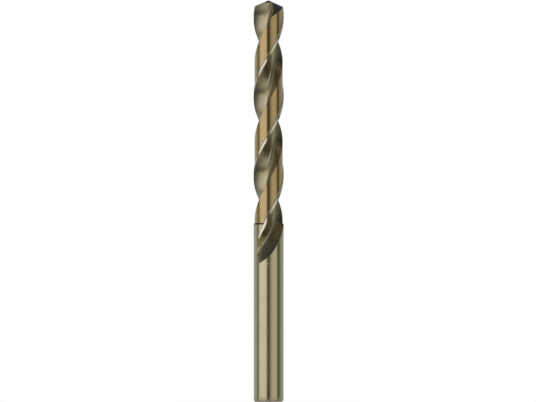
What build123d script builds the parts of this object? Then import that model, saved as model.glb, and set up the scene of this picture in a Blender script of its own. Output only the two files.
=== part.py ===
"""Twist drill bit: right-hand jobber drill, 10 mm, with a split point.

The bit is one solid, ground from a round rod: two helical flutes, two relieved lands with a raised margin
along each cutting corner, conical flanks and a split web. Its axis is Z, with the centre of the shank's end
face at the origin and the point at the top. Bearings are angles about Z, counter-clockwise from +X as seen
from the point, and the bit cuts as it turns counter-clockwise seen from there.
"""

import os
from math import asin, cos, degrees, radians, sin, tan

from build123d import *

# Rod, in millimetres. The diameter is taken over the margins, and a short shoulder leads to it from the shank.
diameter = 10.0
overall_length = 133.0
body_length = 78.7
shoulder_length = 0.6
shank_diameter = 9.9
shank_chamfer = 0.5

# Flutes, in millimetres and degrees. The span runs from cutting corner to heel, and the root lies at a share
# of it. The root's arc is tighter, by its share, than the arcs through the corner and through the heel.
flute_length = 87.5
helix_lead = 52.5
flute_span = 96.8
root_share = 0.65
root_arc_share = 0.694
web_at_point = 2.0
web_at_runout = 2.7

# Run-out, where the flutes end: the root climbs by a power of the length left. The corner turns ahead of its
# helix, at first by a soft step and then faster and faster, the heel falls behind, and the root moves over to
# the corner.
runout_length = 11.5
climb_power = 1.6
first_lead = 9.0
first_lead_length = 5.0
corner_lead = 55.6
corner_lead_length = 10.5
corner_lead_power = 2
heel_lag = 32.2
heel_lag_length = 7.5
heel_lag_power = 3.8
root_shift = 0.38
root_shift_length = 8.0
root_shift_start = 13.5

# Lands: the relief leaves a margin along each cutting corner, and fades out short of the shank
margin_width = 0.68
relief_depth = 0.35
relief_fade = 2.6
relief_end_gap = 3.6

# Point: the angle between the lips, and the cone that each flank is ground to
point_angle = 135.0
lip_bearing = 197.3
lip_clearance = 10.0
flank_cone_angle = 40.0
flank_cone_offset = 3.0

# Split web: a notch ahead of each half of the chisel edge
split_bearing = 38.0
split_slope = 38.0
split_angle = 95.0
chisel_width = 0.2

# How far a grinding cut sweeps past the finished surface
overrun = 1.6

# Sections that guide each helical cut: shares of the run-out, closest where the flute narrows fastest, and the
# number of steps along the rest
runout_shares = (0.06, 0.14, 0.27, 0.4, 0.55, 0.7, 0.85)
section_steps = 22

radius = diameter / 2
point_height = radius / tan(radians(point_angle / 2))
corner_height = overall_length - point_height
body_start = overall_length - body_length
runout_end = overall_length - flute_length
runout_start = runout_end + runout_length
relief_end = body_start + relief_end_gap
blank_top = overall_length + overrun / 2


def corner_bearing(height):
    """Bearing of the first cutting corner, which follows the helix."""
    lip_lead = degrees(asin(web_at_point / diameter))
    return lip_bearing + lip_lead + 360 * (height - corner_height) / helix_lead


def half_web(height):
    """Distance from the axis to the flute's root: the web thickens evenly from the point down."""
    thickening = (web_at_runout - web_at_point) * (overall_length - height) / (overall_length - runout_start)
    return (web_at_point + thickening) / 2


def eased(share):
    """A step from 0 to 1 that starts and ends level."""
    share = min(1, max(0, share))
    return share * share * (3 - 2 * share)


def growth(height, length, power):
    """How far a change has grown that starts a length above the run-out's end, and is whole there."""
    return max(0, 1 - (height - runout_end) / length) ** power


def bend(angle, root):
    """Curvature of the circle that touches a flute's root and leaves the rod at an angle from it."""
    rise = radius * cos(radians(angle)) - root
    return max(0, 2 * rise / (rise**2 + (radius * sin(radians(angle))) ** 2))


def polar(distance, bearing):
    """Point at a distance from the axis."""
    return Vector(distance, 0).rotate(Axis.Z, bearing)


def tangent(point, centre, arc_radius, side):
    """Unit vector from a point along the line that grazes an arc, on the side -1 or 1."""
    towards = centre - point
    return towards.normalized().rotate(Axis.Z, side * degrees(asin(arc_radius / towards.length)))


def flute_section(height):
    """Cross-section of one flute: a straight cutting face, a round root and a straight heel side.

    In the run-out the flute narrows to nothing as its root climbs to the rod's surface.
    """
    left = min(1, (height - runout_end) / runout_length)
    lead = first_lead * eased((runout_start + first_lead_length - height) / first_lead_length)
    lead += corner_lead * growth(height, corner_lead_length, corner_lead_power)
    lag = heel_lag * growth(height, heel_lag_length, heel_lag_power)
    bearing = corner_bearing(height) + lead
    span = flute_span - lead - lag
    shift = root_shift * eased((runout_end + root_shift_start - height) / root_shift_length)
    towards_root = span * (root_share - shift)
    climb = left**climb_power * (1 + climb_power * (1 - left))
    root = radius - (radius - half_web(height)) * climb
    arc_radius = root_arc_share / (bend(towards_root, root) + bend(span - towards_root, root))

    corner = polar(radius, 0)
    heel = polar(radius, span)
    centre = polar(root + arc_radius, towards_root)
    inwards = tangent(corner, centre, arc_radius, 1)
    outwards = -tangent(heel, centre, arc_radius, -1)
    face_foot = corner + inwards * inwards.dot(centre - corner)
    heel_foot = heel - outwards * outwards.dot(heel - centre)
    with BuildSketch(Plane.XY.offset(height).rotated((0, 0, bearing))) as section:
        with BuildLine():
            face = Line(corner - inwards * overrun, face_foot)
            arc = ThreePointArc(face @ 1, polar(root, towards_root), heel_foot)
            side = Line(arc @ 1, heel + outwards * overrun)
            ThreePointArc(side @ 1, polar(radius + overrun, span / 2), face @ 0)
        make_face()
    return section.sketch


def relief_section(height):
    """Cross-section of the band between the two margins, from behind one margin to ahead of the other."""
    first = flute_span / 4 - 180
    last = -degrees(margin_width / radius)
    with BuildSketch(Plane.XY.offset(height).rotated((0, 0, corner_bearing(height)))) as section:
        with BuildLine():
            middle = (first + last) / 2
            inner = ThreePointArc(polar(radius / 2, first), polar(radius / 2, middle), polar(radius / 2, last))
            outer = ThreePointArc(
                polar(radius + overrun, last), polar(radius + overrun, middle), polar(radius + overrun, first)
            )
            Line(inner @ 1, outer @ 0)
            Line(outer @ 1, inner @ 0)
        make_face()
    return section.sketch


def heights_between(low, high):
    """Evenly spaced heights, both ends included."""
    return [low + (high - low) * step / section_steps for step in range(section_steps + 1)]


flute_heights = [runout_end + share * runout_length for share in runout_shares]
flute_heights += heights_between(runout_start, overall_length + overrun)
flute_sections = [flute_section(height) for height in flute_heights]

with BuildPart() as flute_stock:
    loft(flute_sections)

# The relief is turned down to a smaller diameter that tapers back to the full one, everywhere but the margins
relief_radius = radius - relief_depth
relief_slope = relief_fade / relief_depth
relief_base = relief_end - overrun * relief_slope
relief_sections = [relief_section(height) for height in heights_between(relief_base, overall_length + overrun)]

with BuildPart() as relief_stock:
    loft(relief_sections)
    with BuildSketch(Plane.XZ):
        with BuildLine():
            Polyline(
                (0, relief_base - overrun),
                (radius + overrun, relief_base - overrun),
                (radius + overrun, relief_base),
                (relief_radius, relief_end + relief_fade),
                (relief_radius, overall_length + 2 * overrun),
                (0, overall_length + 2 * overrun),
                close=True,
            )
        make_face()
    revolve(axis=Axis.Z, mode=Mode.SUBTRACT)

# The frame of one lip has its origin in the middle of the point. Its X runs out along the lip, and its Y is
# the way that the lip moves as it cuts.
lip_frame = Plane.XY.offset(overall_length).rotated((0, 0, lip_bearing))
half_angle = radians(point_angle / 2)
along_lip = Vector(sin(half_angle), 0, -cos(half_angle))
above_lip = Vector(cos(half_angle), 0, sin(half_angle))

# A flank is part of a cone that touches the line along the lip, and falls away behind it by the clearance
flank_normal = above_lip.rotate(Axis((0, 0, 0), along_lip), lip_clearance)
cone_up = flank_normal.rotate(Axis((0, 0, 0), along_lip.cross(flank_normal)), 90 - flank_cone_angle)
cone_apex = lip_frame.from_local_coords(along_lip * -flank_cone_offset)
cone_frame = Plane(cone_apex, z_dir=lip_frame.from_local_coords(cone_up) - lip_frame.origin)
cone_length = 4 * diameter

with BuildPart() as flank_stock:
    with BuildSketch(lip_frame) as reach:
        with Locations((-web_at_point / 2, 0)):
            Rectangle(diameter, 2 * diameter, align=(Align.MIN, Align.CENTER))
    extrude(amount=diameter, both=True)
    with Locations(cone_frame):
        Cone(
            cone_length * tan(radians(flank_cone_angle)),
            0,
            cone_length,
            align=(Align.CENTER, Align.CENTER, Align.MAX),
            mode=Mode.SUBTRACT,
        )

# A split is a V notch whose upright wall makes the half of the chisel edge into a lip, and whose root line
# runs down and out into the flute
split_run = Vector(cos(radians(split_slope)), 0, -sin(radians(split_slope))).rotate(Axis.Z, split_bearing)
ahead = Vector(0, 1, 0).rotate(Axis.Z, split_bearing)
split_origin = lip_frame.from_local_coords(ahead * (chisel_width / 2) - split_run * overrun)
split_frame = Plane(
    split_origin,
    x_dir=lip_frame.from_local_coords(ahead) - lip_frame.origin,
    z_dir=lip_frame.from_local_coords(split_run) - lip_frame.origin,
)
split_size = diameter / 2

with BuildPart() as split_stock:
    with BuildSketch(split_frame):
        with BuildLine():
            floor_end = Vector(0, split_size).rotate(Axis.Z, -split_angle)
            Polyline((0, 0), (0, split_size), (split_size, split_size), floor_end, close=True)
        make_face()
    extrude(amount=diameter)

with BuildPart() as twist_drill:
    with BuildSketch(Plane.XZ):
        with BuildLine():
            Polyline(
                (0, 0),
                (shank_diameter / 2 - shank_chamfer, 0),
                (shank_diameter / 2, shank_chamfer),
                (shank_diameter / 2, body_start),
                (radius, body_start + shoulder_length),
                (radius, blank_top),
                (0, blank_top),
                close=True,
            )
        make_face()
    revolve(axis=Axis.Z)
    for turn in (0, 180):
        add(relief_stock.part, rotation=(0, 0, turn), mode=Mode.SUBTRACT)
    for turn in (0, 180):
        add(flute_stock.part, rotation=(0, 0, turn), mode=Mode.SUBTRACT)
    for turn in (0, 180):
        add(flank_stock.part, rotation=(0, 0, turn), mode=Mode.SUBTRACT)
    for turn in (0, 180):
        add(split_stock.part, rotation=(0, 0, turn), mode=Mode.SUBTRACT)

twist_drill.part.label = "twist_drill"
os.makedirs("parts", exist_ok=True)
export_step(twist_drill.part, "parts/twist_drill.step")
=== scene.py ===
"""A 10 mm split-point twist drill, standing on its shank: ground surfaces, tinted metal and a studio."""
import math

import bmesh
import bpy
import numpy as np
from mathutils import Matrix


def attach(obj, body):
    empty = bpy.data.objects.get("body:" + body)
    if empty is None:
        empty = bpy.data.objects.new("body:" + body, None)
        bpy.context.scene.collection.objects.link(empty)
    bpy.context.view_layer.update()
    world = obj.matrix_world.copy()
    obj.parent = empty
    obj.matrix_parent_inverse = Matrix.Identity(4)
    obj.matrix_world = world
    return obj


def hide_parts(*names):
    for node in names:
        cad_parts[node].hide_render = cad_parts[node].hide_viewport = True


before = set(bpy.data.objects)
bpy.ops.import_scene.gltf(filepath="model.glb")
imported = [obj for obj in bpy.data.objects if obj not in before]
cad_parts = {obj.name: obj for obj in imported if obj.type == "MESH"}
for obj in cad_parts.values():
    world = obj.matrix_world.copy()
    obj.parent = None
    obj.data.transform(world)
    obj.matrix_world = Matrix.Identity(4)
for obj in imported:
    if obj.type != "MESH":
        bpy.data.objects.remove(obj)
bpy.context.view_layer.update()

MM = 0.001

# Rod, in millimetres: the radius is taken over the margins, and heights start at the shank's end face
RADIUS = 5.0
SHANK_RADIUS = 4.95
CHAMFER = 0.5
LENGTH = 133.0
BODY_START = 54.3
SHOULDER = 0.6

# Flutes: the span runs from cutting corner to heel, and the root lies at a share of it. The root's arc is
# tighter, by its share, than the arcs through the corner and through the heel.
LEAD = 52.5
FLUTE_SPAN = math.radians(96.8)
ROOT_SHARE = 0.65
ROOT_ARC_SHARE = 0.694
WEB_AT_POINT = 2.0
WEB_AT_RUNOUT = 2.7

# Run-out: how far the corner turns ahead, the heel falls behind, the root climbs and moves over, and the
# heights from which they do so
RUNOUT_END = 45.5
RUNOUT_START = 57.0
EARLY_LEAD = math.radians(9.0)
EARLY_LEAD_LENGTH = 5.0
LATE_LEAD = math.radians(55.6)
LATE_LEAD_START = 56.0
LATE_LEAD_POWER = 2
HEEL_LAG = math.radians(32.2)
HEEL_LAG_START = 53.0
HEEL_LAG_POWER = 3.8
CLIMB_POWER = 1.6
ROOT_SHIFT = 0.38
ROOT_SHIFT_START = 59.0
ROOT_SHIFT_LENGTH = 8.0

# Lands: widths around the rod are angles
MARGIN_ANGLE = 0.85 / RADIUS
STEP_ANGLE = 0.35 / RADIUS
HEEL_ROUND = 0.07
HEEL_ROUND_SHARE = 0.2
RELIEF_RADIUS = 4.65
RELIEF_END = 58.7
RELIEF_FADE = 0.5

# Point: the cone that each flank is ground to, and the V notch that splits the web
HALF_POINT = math.radians(67.5)
LIP_BEARING = math.radians(197.3)
LIP_CLEARANCE = math.radians(10.0)
CONE_HALF = math.radians(40.0)
CONE_OFFSET = 3.0
SPLIT_BEARING = math.radians(38.0)
SPLIT_SLOPE = math.radians(38.0)
SPLIT_ANGLE = math.radians(95.0)
CHISEL_WIDTH = 0.2
CORNER_HEIGHT = LENGTH - RADIUS / math.tan(HALF_POINT)

# How far the rod and the cutters run past the finished bit
ROD_OVERRUN = 1.4
SPLIT_OVERRUN = 1.6
FLANK_REACH = 6.0
FLANK_RISE = 3.0

# The mesh: rows, columns, the width of the bands that keep an edge crisp, the distance that the body's rows
# keep from the relief's fade, and what counts as the same height
TIP_SEARCH_ROWS = 400
RUNOUT_ROWS = 50
BODY_ROWS = 200
FADE_ROWS = 7
PROFILE_SAMPLES = 80
FLUTE_COLUMNS = 45
EDGE = 0.06
FADE_CLEARANCE = 0.1
SAME = 1e-6
FLANK_COLUMNS = 61
FLANK_ROWS = 101

# Rows of the shank over its chamfer, and rings of its end face, in millimetres
SHANK_EDGE = 0.1
SHANK_ROWS = [1, 2, 5, 10, 15, 20, 25, 30, 35, 40, 43, 45]
END_RINGS = [0, 1, 2, 3, 4]

# Columns of a land, as shares of the heel's rounding, of the relief, of the step and of the margin
HEEL_SHARES = np.array([[0.35, 0.7]])
RELIEF_SHARES = np.concatenate([[0, 0.004], np.linspace(0.03, 1, 26)])[None, :]
STEP_SHARES = np.linspace(0, 1, 10)[None, 1:]
MARGIN_SHARES = np.array([[0.03, 0.3, 0.6, 0.95]])

# Finishes, and the share of a flute's outline, from the cutting corner, that has the face's finish: the
# heel's side beyond it is painted darker, as shade
SHANK, LAND, STEP, MARGIN, FACE, FLUTE, FLANK, NOTCH, END = range(9)
FACE_SHARE = 0.45


def corner_bearing(z):
    """Bearing of the first cutting corner: it turns evenly with height, once in a lead."""
    lip_lead = math.asin(WEB_AT_POINT / (2 * RADIUS))
    return LIP_BEARING + lip_lead + 2 * math.pi * (z - CORNER_HEIGHT) / LEAD


def half_web(z):
    """Axis to flute root: it grows evenly from the point down."""
    share = (LENGTH - z) / (LENGTH - RUNOUT_START)
    return (WEB_AT_POINT + (WEB_AT_RUNOUT - WEB_AT_POINT) * share) / 2


def rod_radius(z):
    """Outer radius: the shank's, then a straight shoulder up to the radius over the margins."""
    return np.interp(z, [BODY_START, BODY_START + SHOULDER], [SHANK_RADIUS, RADIUS])


def land_radius(z):
    """Radius behind the margins: the relief's, and below it a straight cone out to the full radius."""
    relief = np.interp(z, [RELIEF_END, RELIEF_END + RELIEF_FADE], [RADIUS, RELIEF_RADIUS])
    return np.minimum(relief, rod_radius(z))


def unit(v):
    """Complex numbers brought to length 1."""
    return v / np.abs(v)


def eased(share):
    """A step from 0 to 1 that starts and ends level: three squares less two cubes."""
    share = np.clip(share, 0, 1)
    return share * share * (3 - 2 * share)


def below(z, start):
    """How far down a height lies from a start to the run-out's end: 0 to 1."""
    return np.clip((start - z) / (start - RUNOUT_END), 0, 1)


def bend(angle, root):
    """Curvature of the circle that touches the root and meets the rod's surface at an angle from it.

    It is twice the rise from the root to that point of the surface, over the square of their distance.
    """
    rise = RADIUS * np.cos(angle) - root
    return np.maximum(2 * rise / (rise**2 + (RADIUS * np.sin(angle)) ** 2), 0)


def flute_profile(z):
    """One flute's outline at each height, as complex numbers from cutting corner to heel.

    A straight face from the corner grazes a round root, and a straight side grazes it on the way to the heel:
    each leaves the root's circle where its radius is square to it. Through the run-out the corner turns ahead
    of its helix and the heel falls behind, each by a power of the way down, the root climbs to the surface by
    a power of the length left, and it moves over towards the corner by a soft step.
    """
    z = z[:, None]
    left = np.clip((z - RUNOUT_END) / (RUNOUT_START - RUNOUT_END), 1e-4, 1)
    lead = EARLY_LEAD * eased((RUNOUT_START + EARLY_LEAD_LENGTH - z) / EARLY_LEAD_LENGTH)
    lead = lead + LATE_LEAD * below(z, LATE_LEAD_START) ** LATE_LEAD_POWER
    lag = HEEL_LAG * below(z, HEEL_LAG_START) ** HEEL_LAG_POWER
    bearing = corner_bearing(z) + lead
    span = np.maximum(FLUTE_SPAN - lead - lag, 1e-3)
    root = RADIUS - (RADIUS - half_web(z)) * left**CLIMB_POWER * (1 + CLIMB_POWER - CLIMB_POWER * left)
    share = ROOT_SHARE - ROOT_SHIFT * eased((ROOT_SHIFT_START - z) / ROOT_SHIFT_LENGTH)
    rho = ROOT_ARC_SHARE / (bend(span * share, root) + bend(span * (1 - share), root) + 1e-9)

    corner = np.full_like(span, RADIUS) + 0j
    heel = RADIUS * np.exp(1j * span)
    towards_axis = span * share
    centre = (root + rho) * np.exp(1j * towards_axis)
    a, b = centre - corner, centre - heel
    inwards = unit(a) * np.exp(1j * np.arcsin(np.minimum(rho / np.abs(a), 1)))
    back = unit(b) * np.exp(-1j * np.arcsin(np.minimum(rho / np.abs(b), 1)))
    face_foot = corner + inwards * np.real(a * np.conj(inwards))
    side_foot = heel + back * np.real(b * np.conj(back))
    middle = -np.exp(1j * towards_axis)
    start = np.angle((face_foot - centre) / middle)
    end = np.angle((side_foot - centre) / middle)

    t = np.linspace(0, 1, PROFILE_SAMPLES)[None, :]
    face = corner + (face_foot - corner) * t
    arc = centre + rho * middle * np.exp(1j * (start + (end - start) * t))
    side = side_foot + (heel - side_foot) * t
    return np.concatenate([face, arc[:, 1:-1], side], axis=1) * np.exp(1j * bearing)


def first_inside(distance, limit):
    """Fractional index at which each row first comes within a distance of the axis."""
    inside = distance <= limit[:, None] + 1e-9
    j = np.argmax(inside, axis=1)
    k = np.maximum(j - 1, 0)
    rows = np.arange(len(j))
    outer, inner = distance[rows, k], distance[rows, j]
    gap = np.where(j > 0, outer - inner, 1)
    return np.where(j > 0, k + (outer - limit) / np.where(gap == 0, 1, gap), 0)


def flute_columns(z, shares):
    """The flute's outline cut off where it meets the rod and the land, and sampled at shares between.

    It stops short of the land by the heel's rounding, which is at most a share of the flute's depth. The
    second value is that rounding.
    """
    profile = flute_profile(z)
    distance = np.abs(profile)
    depth = rod_radius(z) - distance.min(axis=1)
    rounding = np.minimum(HEEL_ROUND, HEEL_ROUND_SHARE * np.maximum(depth, 0))
    first = first_inside(distance, rod_radius(z))
    last = profile.shape[1] - 1 - first_inside(distance[:, ::-1], land_radius(z) - rounding)
    tip = np.argmin(distance[0])
    first[0] = last[0] = tip
    at = first[:, None] + (last - first)[:, None] * shares[None, :]
    i = np.minimum(at.astype(int), profile.shape[1] - 2)
    rows = np.arange(len(z))[:, None]
    w = at - i
    points = profile[rows, i] * (1 - w) + profile[rows, i + 1] * w
    points[0] = SHANK_RADIUS * unit(points[0])
    return points, rounding


def grown(points, z, turn):
    """Complex outlines and their heights as an array of 3-D points, turned about the axis."""
    p = points * np.exp(1j * turn)
    return np.stack([p.real, p.imag, np.broadcast_to(z[:, None], p.shape)], axis=-1)


class Shell:
    """Grids of points gathered into one closed skin, whose equal points become one."""

    def __init__(self):
        self.points, self.faces, self.zones = [], [], []
        self.count = 0

    def grid(self, points, zone):
        """A grid of rows by columns becomes quads that face outwards when columns run counter-clockwise."""
        n, m = points.shape[:2]
        index = np.arange(n * m).reshape(n, m) + self.count
        quads = np.stack([index[:-1, :-1], index[:-1, 1:], index[1:, 1:], index[1:, :-1]], axis=-1)
        zones = np.broadcast_to(zone, (n - 1, m - 1))
        self.points.append(points.reshape(-1, 3))
        self.faces.append(quads.reshape(-1, 4))
        self.zones.append(zones.reshape(-1))
        self.count += n * m

    def mesh(self, name):
        """All grids as one mesh in metres: a quad with two equal corners is a triangle, and one with fewer
        than three left is dropped."""
        points = np.concatenate(self.points)
        faces = np.concatenate(self.faces)
        zones = np.concatenate(self.zones)
        _, first, inverse = np.unique(np.round(points, 5), axis=0, return_index=True, return_inverse=True)
        faces = inverse.reshape(-1)[faces]
        points = points[first]
        a, b, c, d = faces.T
        whole = (a != b) & (b != c) & (c != d) & (d != a) & (a != c) & (b != d)
        tri_sets = [(a == b, (b, c, d)), (b == c, (a, b, d)), (c == d, (a, b, c)), (d == a, (a, b, c))]
        triangles, tri_zones = [], []
        for merged, corners in tri_sets:
            t = np.stack([q[merged] for q in corners], axis=-1)
            good = (t[:, 0] != t[:, 1]) & (t[:, 1] != t[:, 2]) & (t[:, 2] != t[:, 0])
            triangles.append(t[good])
            tri_zones.append(zones[merged][good])
        polygons = faces[whole].tolist() + np.concatenate(triangles).tolist()
        mesh = bpy.data.meshes.new(name)
        mesh.from_pydata((points * MM).tolist(), [], polygons)
        zones = np.concatenate([zones[whole]] + tri_zones).astype(np.int32)
        mesh.polygons.foreach_set("material_index", zones)
        mesh.update()
        return mesh


def ring(points):
    """Close a ring of columns by repeating its first column."""
    return np.concatenate([points, points[:, :1]], axis=1)


def fluted_heights():
    """Rows from the run-out's tip to above the point, closest at the tip and over the relief's end.

    The tip is the first of many even heights at which the flute's root comes inside the shank. From there the
    rows part by the square of their number up to the shoulder, and lie even along the body.
    """
    fine = RUNOUT_END + (BODY_START - RUNOUT_END) * np.linspace(0, 1, TIP_SEARCH_ROWS)
    tip = fine[np.argmax(np.abs(flute_profile(fine)).min(axis=1) < SHANK_RADIUS)]
    runout = tip + (BODY_START - EDGE - tip) * np.linspace(0, 1, RUNOUT_ROWS) ** 2
    shoulder = [BODY_START, BODY_START + EDGE, BODY_START + SHOULDER / 2, BODY_START + SHOULDER - EDGE]
    body = np.linspace(BODY_START + SHOULDER, LENGTH + ROD_OVERRUN, BODY_ROWS)
    fade = RELIEF_END + RELIEF_FADE * np.linspace(0, 1, FADE_ROWS)
    body = body[(body < fade[0] - FADE_CLEARANCE) | (body > fade[-1] + FADE_CLEARANCE)]
    return np.concatenate([runout, shoulder, np.sort(np.concatenate([body, fade]))])


def land_columns(z, corner, heel, rounding):
    """Outline of one land at each height, from the other flute's heel to this flute's cutting corner.

    A quarter ellipse rounds the heel off to the relief's circle, a quarter sine leads up from that circle to
    the rod's, and the margin follows the rod's circle. The second value is the finish of each column.
    """
    corner_angle = np.unwrap(np.angle(corner[:, 0]))[:, None]
    heel_angle = corner_angle + np.angle(heel / corner) - np.pi
    rod, land = rod_radius(z)[:, None], land_radius(z)[:, None]
    turn = rounding[:, None] / RADIUS
    margin = corner_angle - MARGIN_ANGLE
    foot = margin - STEP_ANGLE

    quarter = HEEL_SHARES * np.pi / 2
    edge_angle = heel_angle + turn * (1 - np.cos(quarter))
    edge_radius = np.abs(heel) + (land - np.abs(heel)) * np.sin(quarter)
    relief_angle = heel_angle + turn + (foot - heel_angle - turn) * RELIEF_SHARES
    relief_radius = np.broadcast_to(land, relief_angle.shape)
    step_angle = foot + STEP_ANGLE * STEP_SHARES
    step_radius = land + (rod - land) * np.sin(STEP_SHARES * np.pi / 2)
    margin_angle = margin + MARGIN_ANGLE * MARGIN_SHARES
    margin_radius = np.broadcast_to(rod, margin_angle.shape)

    angles = np.concatenate([edge_angle, relief_angle, step_angle, margin_angle], axis=1)
    radii = np.concatenate([edge_radius, relief_radius, step_radius, margin_radius], axis=1)
    strip = np.concatenate([heel * np.exp(-1j * np.pi), radii * np.exp(1j * angles), corner], axis=1)
    counts = [edge_angle.shape[1] + relief_angle.shape[1], step_angle.shape[1], margin_angle.shape[1] + 1]
    return strip, np.repeat([LAND, STEP, MARGIN], counts)[None, :]


def land_zones(z, finish):
    """Finish of each cell of a land: the margin runs down to the shank, and its step ends with the relief."""
    low = z[:-1, None]
    zones = np.where((low < RELIEF_END + RELIEF_FADE - SAME) & (finish == STEP), LAND, finish)
    zones = np.where((low < RELIEF_END - SAME) & (finish != MARGIN), SHANK, zones)
    return np.where(low < BODY_START - SAME, SHANK, zones)


def fluted_rod():
    """The rod from end face to above the point: two flutes, and between them two lands with raised margins.

    The columns of the flutes and lands lie even between those of a plain row and those of half a cosine. The
    shank, its chamfer and its end face are circles that repeat the bearings of the lands' lowest row.
    """
    skin = Shell()
    z = fluted_heights()
    even = np.linspace(0, 1, FLUTE_COLUMNS)
    shares = 0.5 * (1 - np.cos(even * np.pi)) / 2 + 0.5 * even
    flute, rounding = flute_columns(z, shares)
    strip, finish = land_columns(z, flute[:, :1], flute[:, -1:], rounding)
    # Past the face's share, towards the heel, the flute takes a darker copy of the face's steel: painted
    # shade
    flute_zones = np.where(shares[1:] <= FACE_SHARE, FACE, FLUTE)[None, :]
    for turn in (0, np.pi):
        skin.grid(grown(flute, z, turn), flute_zones)
        skin.grid(grown(strip, z, turn), land_zones(z, finish))

    # Below the run-out the strips go straight down, and the flutes have closed
    low = np.array([CHAMFER, CHAMFER + SHANK_EDGE, *SHANK_ROWS, z[0]])
    column = unit(strip[:1])
    around = ring(np.concatenate([column[:, :-1], -column[:, :-1]], axis=1))
    skin.grid(grown(np.repeat(around, len(low), axis=0) * SHANK_RADIUS, low, 0), SHANK)

    # End chamfer and end face
    rise = np.array([0, EDGE, CHAMFER - EDGE, CHAMFER])
    skin.grid(grown(around * (SHANK_RADIUS - CHAMFER + rise)[:, None], rise, 0), END)
    face = np.array([*END_RINGS, SHANK_RADIUS - CHAMFER - EDGE, SHANK_RADIUS - CHAMFER])
    skin.grid(grown(around * face[:, None], np.zeros(len(face)), 0), END)

    # The top is closed by a fan, which the grinding of the point takes away
    top = np.concatenate([flute[-1:, :-1], strip[-1:, :-1] * np.exp(1j * np.pi)], axis=1)
    top = ring(np.concatenate([top, top * np.exp(1j * np.pi)], axis=1))
    skin.grid(grown(np.concatenate([top, top * 0]), z[[-1, -1]], 0), FLANK)
    return skin.mesh("fluted_rod")


def lip_frame(half):
    """Origin and unit vectors at the point's centre: along the lip in plan, and the way that it cuts."""
    bearing = LIP_BEARING + half * math.pi
    x = np.array([math.cos(bearing), math.sin(bearing), 0])
    y = np.array([-math.sin(bearing), math.cos(bearing), 0])
    return np.array([0, 0, LENGTH]), np.stack([x, y, np.array([0, 0, 1.0])])


def cone_height(x, y):
    """Height of a flank over the lip frame: the upper side of a cone that touches the line along the lip.

    A point lies on the cone where its distance along the cone's axis is the cosine of the half angle times
    its distance from the apex, which is a quadratic in the height.
    """
    along = np.array([math.sin(HALF_POINT), 0, -math.cos(HALF_POINT)])
    above = np.array([math.cos(HALF_POINT), 0, math.sin(HALF_POINT)])
    normal = math.cos(LIP_CLEARANCE) * above - math.sin(LIP_CLEARANCE) * np.array([0, 1, 0])
    down = along * math.cos(CONE_HALF) - normal * math.sin(CONE_HALF)
    apex = -CONE_OFFSET * along
    qx, qy = x - apex[0], y - apex[1]
    square = math.cos(CONE_HALF) ** 2
    side = qx * down[0] + qy * down[1]
    a = down[2] ** 2 - square
    b = 2 * down[2] * side
    c = side**2 - square * (qx**2 + qy**2)
    root = np.sqrt(np.maximum(b * b - 4 * a * c, 0))
    one, two = (-b + root) / (2 * a), (-b - root) / (2 * a)
    high, low = np.maximum(one, two), np.minimum(one, two)
    height = np.where(side + high * down[2] > 0, high, low)
    return apex[2] + height


def rim(sheet):
    """The points around the edge of a grid, ending where they start."""
    return np.concatenate([sheet[0, :-1], sheet[:-1, -1], sheet[-1, :0:-1], sheet[:0:-1, 0], sheet[:1, 0]])


def flank_stock(half):
    """All that stands over one flank: a block whose underside is the flank's cone."""
    origin, axes = lip_frame(half)
    x = np.linspace(-WEB_AT_POINT / 2, FLANK_REACH, FLANK_COLUMNS)
    y = np.linspace(-FLANK_REACH, FLANK_REACH, FLANK_ROWS)
    x, y = np.meshgrid(x, y)
    under = np.stack([x, y, cone_height(x, y)], axis=-1) @ axes + origin
    over = np.stack([x, y, np.full_like(x, FLANK_RISE)], axis=-1) @ axes + origin
    skin = Shell()
    skin.grid(under[:, ::-1], FLANK)
    skin.grid(over, FLANK)
    skin.grid(np.stack([rim(under), rim(over)]), FLANK)
    return skin.mesh("flank_stock")


def split_stock(half):
    """A V prism: an upright wall, a floor that falls away ahead of it, and a root that runs down and out."""
    origin, axes = lip_frame(half)
    run = np.array([math.cos(SPLIT_SLOPE), 0, -math.sin(SPLIT_SLOPE)])
    turn = np.array([[math.cos(SPLIT_BEARING), math.sin(SPLIT_BEARING), 0],
                     [-math.sin(SPLIT_BEARING), math.cos(SPLIT_BEARING), 0], [0, 0, 1]])
    run = run @ turn
    ahead = np.array([0, 1.0, 0]) @ turn
    up = np.cross(run, ahead)
    floor_end = math.sin(SPLIT_ANGLE) * ahead + math.cos(SPLIT_ANGLE) * up
    start = ahead * CHISEL_WIDTH / 2 - run * SPLIT_OVERRUN
    outline = RADIUS * np.stack([0 * up, up, up + ahead, floor_end]) + start
    ends = np.stack([outline, outline + run * 2 * RADIUS])
    ends = ends @ axes + origin
    skin = Shell()
    skin.grid(np.concatenate([ends, ends[:, :1]], axis=1), NOTCH)
    near, far = ends[0], ends[1]
    skin.grid(np.stack([np.stack([near[0], near[3]]), np.stack([near[1], near[2]])]), NOTCH)
    skin.grid(np.stack([np.stack([far[1], far[2]]), np.stack([far[0], far[3]])]), NOTCH)
    return skin.mesh("split_stock")


def outwards(mesh):
    """Turn every face of a closed skin outwards."""
    bm = bmesh.new()
    bm.from_mesh(mesh)
    bmesh.ops.recalc_face_normals(bm, faces=bm.faces)
    bm.to_mesh(mesh)
    bm.free()


def new_object(mesh, name):
    """An object at the origin that shows a mesh."""
    piece = bpy.data.objects.new(name, mesh)
    bpy.context.scene.collection.objects.link(piece)
    return piece


def tree(material, metallic):
    """A fresh node tree with its output and one shader, metallic in part or in full."""
    material.use_nodes = True
    nodes, links = material.node_tree.nodes, material.node_tree.links
    nodes.clear()
    out = nodes.new("ShaderNodeOutputMaterial")
    metal = nodes.new("ShaderNodeBsdfPrincipled")
    metal.inputs["Metallic"].default_value = metallic
    links.new(metal.outputs["BSDF"], out.inputs["Surface"])
    return nodes, links, metal


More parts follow.
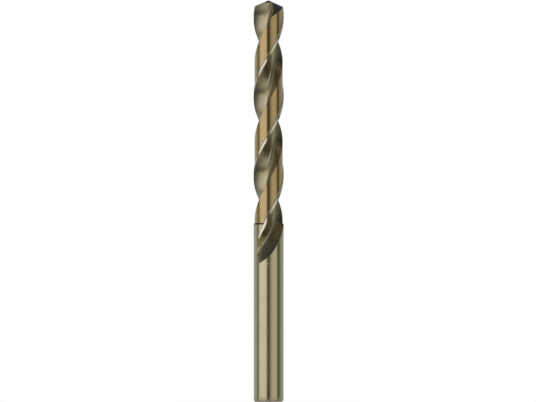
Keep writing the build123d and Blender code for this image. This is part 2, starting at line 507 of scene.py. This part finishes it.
# Grain is the mark of the grinding, and cloud is the slow drift of the temper's tint
GRAIN_DETAIL = 4.0
GRAIN_STRENGTH = 0.02
GRAIN_DEPTH = 0.0001
CLOUD_SCALE = 120.0
CLOUD_DETAIL = 3.0
CLOUD_EDGES = (0.3, 0.7)
ROUGHNESS_DRIFT = 0.2


def noise(nodes, links, place, scale, detail):
    """Noise over a place, as a socket."""
    node = nodes.new("ShaderNodeTexNoise")
    node.inputs["Scale"].default_value = scale
    node.inputs["Detail"].default_value = detail
    links.new(place, node.inputs["Vector"])
    return node.outputs["Fac"]


def ground_metal(name, colour, darker, roughness, stretch, scale, metallic=1.0):
    """Ground metal: its colour drifts between two tints, and fine noise along the grinding lines roughens it.

    The stretch is how much closer the noise lies along the bit's axis than around it.
    """
    material = bpy.data.materials.new(name)
    nodes, links, metal = tree(material, metallic)
    place = nodes.new("ShaderNodeTexCoord").outputs["Object"]
    mapping = nodes.new("ShaderNodeMapping")
    mapping.inputs["Scale"].default_value = (1, 1, stretch)
    links.new(place, mapping.inputs["Vector"])
    grain = noise(nodes, links, mapping.outputs["Vector"], scale, GRAIN_DETAIL)
    cloud = noise(nodes, links, place, CLOUD_SCALE, CLOUD_DETAIL)
    tint = nodes.new("ShaderNodeValToRGB")
    for element, position, shade in zip(tint.color_ramp.elements, CLOUD_EDGES, (darker, colour)):
        element.position = position
        element.color = (*shade, 1)
    links.new(cloud, tint.inputs["Fac"])
    links.new(tint.outputs["Color"], metal.inputs["Base Color"])
    rough = nodes.new("ShaderNodeMapRange")
    rough.inputs["To Min"].default_value = roughness * (1 - ROUGHNESS_DRIFT)
    rough.inputs["To Max"].default_value = roughness * (1 + ROUGHNESS_DRIFT)
    links.new(grain, rough.inputs["Value"])
    links.new(rough.outputs["Result"], metal.inputs["Roughness"])
    bump = nodes.new("ShaderNodeBump")
    bump.inputs["Strength"].default_value = GRAIN_STRENGTH
    bump.inputs["Distance"].default_value = GRAIN_DEPTH
    links.new(grain, bump.inputs["Height"])
    links.new(bump.outputs["Normal"], metal.inputs["Normal"])
    return material


# In the order of the zones. The step is metallic only in part, so that it stays light where it faces a gap.
finishes = [
    ground_metal("ground_shank", (0.65, 0.57, 0.37), (0.60, 0.53, 0.34), 0.19, 30, 300),
    ground_metal("golden_land", (0.65, 0.46, 0.21), (0.54, 0.40, 0.225), 0.18, 1, 900),
    ground_metal("step_steel", (0.88, 0.73, 0.46), (0.78, 0.64, 0.40), 0.4, 1, 900, metallic=0.25),
    ground_metal("bright_margin", (0.84, 0.79, 0.65), (0.76, 0.71, 0.58), 0.16, 30, 300),
    ground_metal("face_steel", (0.66, 0.58, 0.39), (0.52, 0.45, 0.30), 0.23, 4, 500),
    # The flute's steel is the face's steel made darker, a painted shade on the heel's side
    ground_metal("flute_steel_painted_shade", (0.60, 0.545, 0.36), (0.48, 0.44, 0.29), 0.2, 4, 500),
    ground_metal("flank_steel", (0.30, 0.32, 0.29), (0.24, 0.26, 0.24), 0.3, 1, 900),
    ground_metal("notch_steel", (0.42, 0.38, 0.30), (0.34, 0.31, 0.25), 0.3, 1, 900),
    ground_metal("end_steel", (0.50, 0.44, 0.32), (0.44, 0.38, 0.27), 0.3, 1, 900),
]

# Edges sharper than this aren't smoothed over
SHARP_ANGLE = math.radians(24)


def make_drill():
    """Grind the point on the fluted rod: both flanks, then both splits."""
    body = fluted_rod()
    outwards(body)
    drill = new_object(body, "ground_drill")
    cutters = []
    for stock in (flank_stock, split_stock):
        for half in (0, 1):
            mesh = stock(half)
            outwards(mesh)
            cutters.append(new_object(mesh, mesh.name))
    for piece in [drill] + cutters:
        for finish in finishes:
            piece.data.materials.append(finish)
    for cutter in cutters:
        grind = drill.modifiers.new("grind", "BOOLEAN")
        grind.operation = "DIFFERENCE"
        grind.solver = "MANIFOLD"
        grind.object = cutter
    bpy.context.view_layer.update()
    graph = bpy.context.evaluated_depsgraph_get()
    ground = bpy.data.meshes.new_from_object(drill.evaluated_get(graph), depsgraph=graph)
    drill.modifiers.clear()
    drill.data = ground
    for cutter in cutters:
        bpy.data.objects.remove(cutter)
    ground.shade_smooth()
    ground.set_sharp_from_angle(angle=SHARP_ANGLE)
    return drill


drill = make_drill()
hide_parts("twist_drill")
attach(drill, "root")


def curve(nodes, links, value, stops):
    """Levels or colours along a value, in straight stretches between the given stops."""
    low, high = stops[0][0], stops[-1][0]
    share = nodes.new("ShaderNodeMapRange")
    share.inputs["From Min"].default_value = low
    share.inputs["From Max"].default_value = high
    links.new(value, share.inputs["Value"])
    ramp = nodes.new("ShaderNodeValToRGB")
    ramp.color_ramp.interpolation = "LINEAR"
    while len(ramp.color_ramp.elements) < len(stops):
        ramp.color_ramp.elements.new(1.0)
    for element, (place, level) in zip(ramp.color_ramp.elements, stops):
        element.position = (place - low) / (high - low)
        element.color = (*np.broadcast_to(level, 3), 1)
    links.new(share.outputs["Result"], ramp.inputs["Fac"])
    return ramp.outputs["Color"]


def joined(nodes, links, kind, operation, inputs):
    """One node of a kind that works on values and sockets."""
    node = nodes.new(kind)
    node.operation = operation
    for socket, given in zip(node.inputs, inputs):
        if isinstance(given, (int, float)):
            socket.default_value = given
        else:
            links.new(given, socket)
    return node.outputs[0]


def maths(nodes, links, operation, *inputs):
    """One Math node on values and sockets."""
    return joined(nodes, links, "ShaderNodeMath", operation, inputs)


def vectors(nodes, links, operation, *inputs):
    """One Vector Math node on two sockets."""
    return joined(nodes, links, "ShaderNodeVectorMath", operation, inputs)


def blend(nodes, links, first, second, share):
    """The first level at share 0, the second at share 1."""
    return maths(nodes, links, "MULTIPLY_ADD", maths(nodes, links, "SUBTRACT", second, first), share, first)


def mirrored_rays(nodes, links):
    """Two sockets that are 1 for their rays, else 0: those sent out by metal or glass, and the camera's."""
    rays = nodes.new("ShaderNodeLightPath")
    glossy, through = rays.outputs["Is Glossy Ray"], rays.outputs["Is Transmission Ray"]
    return maths(nodes, links, "MAXIMUM", glossy, through), rays.outputs["Is Camera Ray"]


# Levels of the light. The first number of a stop is in degrees: in PANELS, GAPS, the shares, BEHIND and
# BEARING_TINT it is the bearing from the lens, to the right; in GAP_REACH and the falls it is the rise above
# the horizon. In FALL_TINT it is the level of the fall.
PANELS = [(-180, 0.2), (-116, 0.2), (-102, 0.3), (-90, 0.55), (-76, 0.85), (-70, 0.87), (-58, 0.96),
          (-36, 0.96), (-22, 0.88), (-12, 1.0), (8, 1.0), (12, 0.44), (18, 0.48), (26, 0.6), (34, 0.72),
          (50, 0.72), (60, 0.6), (72, 0.5), (92, 0.5), (104, 0.2), (180, 0.2)]
GAPS = [(-180, 1.0), (-103, 1.0), (-98, 0.5), (-86, 0.3), (-74, 1.0), (-18, 1.0), (-12, 0.04), (9, 0.04),
        (14, 1.0), (69, 1.0), (75, 0.1), (91, 0.1), (97, 1.0), (180, 1.0)]
GAP_REACH = [(-90, 0.0), (-8, 0.0), (-5, 1.0), (5, 1.0), (9, 0.0), (90, 0.0)]
LEFT_FALL = [(-90, 0.06), (-56, 0.1), (-48, 0.15), (-44, 0.22), (-40, 0.36), (-36, 0.54), (-32, 0.66),
             (-28, 0.7), (-20, 0.77), (-14, 0.84), (-9, 0.84), (-4, 1.0), (2.5, 1.0), (6, 0.45), (12, 0.25),
             (28, 0.22), (32, 0.15), (36, 0.11), (48, 0.06), (90, 0.05)]
CENTRE_FALL = [(-90, 0.07), (-55, 0.08), (-44, 0.1), (-36, 0.14), (-31, 0.17), (-27, 0.21), (-20, 0.25),
               (-16, 0.38), (-13, 0.58), (-9, 0.95), (-4, 1.0), (2.5, 1.0), (5, 0.37), (8, 0.22), (12, 0.12),
               (20, 0.15), (27, 0.2), (32, 0.14), (36, 0.1), (44, 0.055), (54, 0.04), (90, 0.03)]
RIGHT_FALL = [(-90, 0.12), (-56, 0.2), (-48, 0.24), (-44, 0.3), (-40, 0.38), (-36, 0.47), (-32, 0.53),
              (-28, 0.58), (-12, 0.67), (-8, 0.76), (-4, 1.0), (2.5, 1.0), (4, 0.35), (6, 0.1), (12, 0.13),
              (17, 0.28), (22, 0.42), (28, 0.45), (32, 0.33), (36, 0.2), (44, 0.12), (90, 0.08)]
OUTER_FALL = [(-90, 0.12), (-48, 0.24), (-40, 0.38), (-32, 0.53), (-12, 0.67), (-4, 1.0), (24, 0.95),
              (32, 0.5), (36, 0.3), (44, 0.25), (90, 0.1)]
RIGHT_SHARE = [(-180, 0.0), (-2, 0.0), (2, 1.0), (180, 1.0)]
CENTRE_SHARE = [(-180, 0.0), (-9, 0.0), (0, 1.0), (9, 1.0), (22, 0.0), (180, 0.0)]
OUTER_SHARE = [(-180, 0.0), (56, 0.0), (74, 1.0), (180, 1.0)]
BEHIND = [(-180, 0.5), (-108, 0.46), (-101, 0.38), (-97, 0.0), (92, 0.0), (97, 0.32), (112, 0.34),
          (130, 0.42), (180, 0.42)]
BEARING_TINT = [(-180, (1.0, 1.12, 1.3)), (-118, (1.0, 1.12, 1.28)), (-104, (1.0, 1.1, 1.05)),
                (-92, (1.0, 0.97, 0.75)), (-76, (1.0, 1.0, 1.0)), (-22, (1.0, 1.0, 1.0)),
                (-10, (1.0, 0.96, 0.78)), (7, (1.0, 0.96, 0.78)), (14, (1.0, 0.99, 0.92)),
                (70, (1.0, 0.99, 0.92)), (84, (1.0, 0.97, 0.8)), (98, (1.0, 1.1, 1.0)),
                (118, (1.0, 1.12, 1.28)), (180, (1.0, 1.12, 1.3))]
FALL_TINT = [(0.0, (0.96, 1.05, 1.06)), (0.3, (0.98, 1.03, 1.0)), (0.6, (1.0, 1.0, 1.0)),
             (1.0, (1.0, 1.0, 1.0))]


def studio():
    """A ring of soft panels about the bit, brightest at the left and in front, with dark gaps and ceiling.

    A panel's level depends on the bearing. Above and below the horizon it falls off by one of four laws, for
    the left, the right, the middle and the far right, which blend into each other by bearing. The gaps reach
    only a few degrees from the horizon. A tint by bearing cools the light from behind and warms the gaps, and
    a tint by fall cools what is dim. A camera sees plain white instead, and metal sees a share of white
    behind the bit.
    """
    world = bpy.data.worlds.new("studio")
    bpy.context.scene.world = world
    world.use_nodes = True
    nodes, links = world.node_tree.nodes, world.node_tree.links
    nodes.clear()
    out = nodes.new("ShaderNodeOutputWorld")
    shade = nodes.new("ShaderNodeBackground")
    links.new(shade.outputs["Background"], out.inputs["Surface"])
    place = nodes.new("ShaderNodeTexCoord")
    parts = nodes.new("ShaderNodeSeparateXYZ")
    links.new(place.outputs["Generated"], parts.inputs["Vector"])
    front = maths(nodes, links, "MULTIPLY", parts.outputs["Y"], -1.0)
    bearing = maths(nodes, links, "ARCTAN2", parts.outputs["X"], front)
    bearing = maths(nodes, links, "DEGREES", bearing)
    rise = maths(nodes, links, "ARCSINE", parts.outputs["Z"])
    rise = maths(nodes, links, "DEGREES", rise)

    fall = curve(nodes, links, rise, LEFT_FALL)
    for law, share in ((RIGHT_FALL, RIGHT_SHARE), (CENTRE_FALL, CENTRE_SHARE), (OUTER_FALL, OUTER_SHARE)):
        fall = blend(nodes, links, fall, curve(nodes, links, rise, law), curve(nodes, links, bearing, share))
    gap = blend(nodes, links, 1.0, curve(nodes, links, bearing, GAPS), curve(nodes, links, rise, GAP_REACH))
    level = maths(nodes, links, "MULTIPLY", curve(nodes, links, bearing, PANELS), gap)
    level = maths(nodes, links, "MULTIPLY", level, fall)

    mirrored, camera_ray = mirrored_rays(nodes, links)
    mirrored = maths(nodes, links, "MULTIPLY", mirrored, curve(nodes, links, bearing, BEHIND))
    mirrored = maths(nodes, links, "MULTIPLY", mirrored, fall)
    level = maths(nodes, links, "MAXIMUM", level, mirrored)
    tinted = vectors(nodes, links, "MULTIPLY", level, curve(nodes, links, bearing, BEARING_TINT))
    tinted = vectors(nodes, links, "MULTIPLY", tinted, curve(nodes, links, fall, FALL_TINT))
    seen = vectors(nodes, links, "MAXIMUM", tinted, camera_ray)
    links.new(seen, shade.inputs["Color"])


studio()

# The floor's rings and sides, how far it lies under the shank's end, and how bright it is to the camera and
# to metal
FLOOR_RINGS = np.array([30, 25, 20, 15, 12, 9, 5, 0])
FLOOR_SIDES = 96
FLOOR_DROP = 0.01
FLOOR_TO_CAMERA = 0.9
FLOOR_TO_METAL = 0.25


def white_floor():
    """A pale round floor that keeps the bit's soft shadow."""
    skin = Shell()
    around = np.exp(1j * np.linspace(0, 2 * np.pi, FLOOR_SIDES + 1))[None, :]
    height = np.full(len(FLOOR_RINGS), -FLOOR_DROP)
    skin.grid(grown(FLOOR_RINGS[:, None] * around, height, 0), 0)
    floor = new_object(skin.mesh("white_floor"), "white_floor")
    material = bpy.data.materials.new("white_paper")
    material.use_nodes = True
    nodes, links = material.node_tree.nodes, material.node_tree.links
    paper = nodes["Principled BSDF"]
    paper.inputs["Base Color"].default_value = (0.92, 0.92, 0.92, 1)
    paper.inputs["Roughness"].default_value = 0.9
    paper.inputs["Emission Color"].default_value = (1, 1, 1, 1)
    mirrored, camera_ray = mirrored_rays(nodes, links)
    to_camera = maths(nodes, links, "MULTIPLY", camera_ray, FLOOR_TO_CAMERA)
    to_metal = maths(nodes, links, "MULTIPLY", mirrored, FLOOR_TO_METAL)
    links.new(maths(nodes, links, "MAXIMUM", to_camera, to_metal), paper.inputs["Emission Strength"])
    floor.data.materials.append(material)


white_floor()

# A long lens at the bit's mid-height, square to its axis, in metres. The view's width is taken at the bit.
DISTANCE = 2.4
VIEW_WIDTH = 0.1776
SENSOR_WIDTH = 36.0
AIM_X = -0.000215
AIM_Z = 0.0665
lens = bpy.data.cameras.new("long_lens")
lens.sensor_width = SENSOR_WIDTH
lens.lens = SENSOR_WIDTH * DISTANCE / VIEW_WIDTH
lens.clip_start = 0.1
lens.clip_end = 20.0
camera = bpy.data.objects.new("camera", lens)
camera.location = (AIM_X, -DISTANCE, AIM_Z)
camera.rotation_euler = (math.pi / 2, 0, 0)
bpy.context.scene.collection.objects.link(camera)
bpy.context.scene.camera = camera
bpy.context.scene.view_settings.view_transform = "Standard"
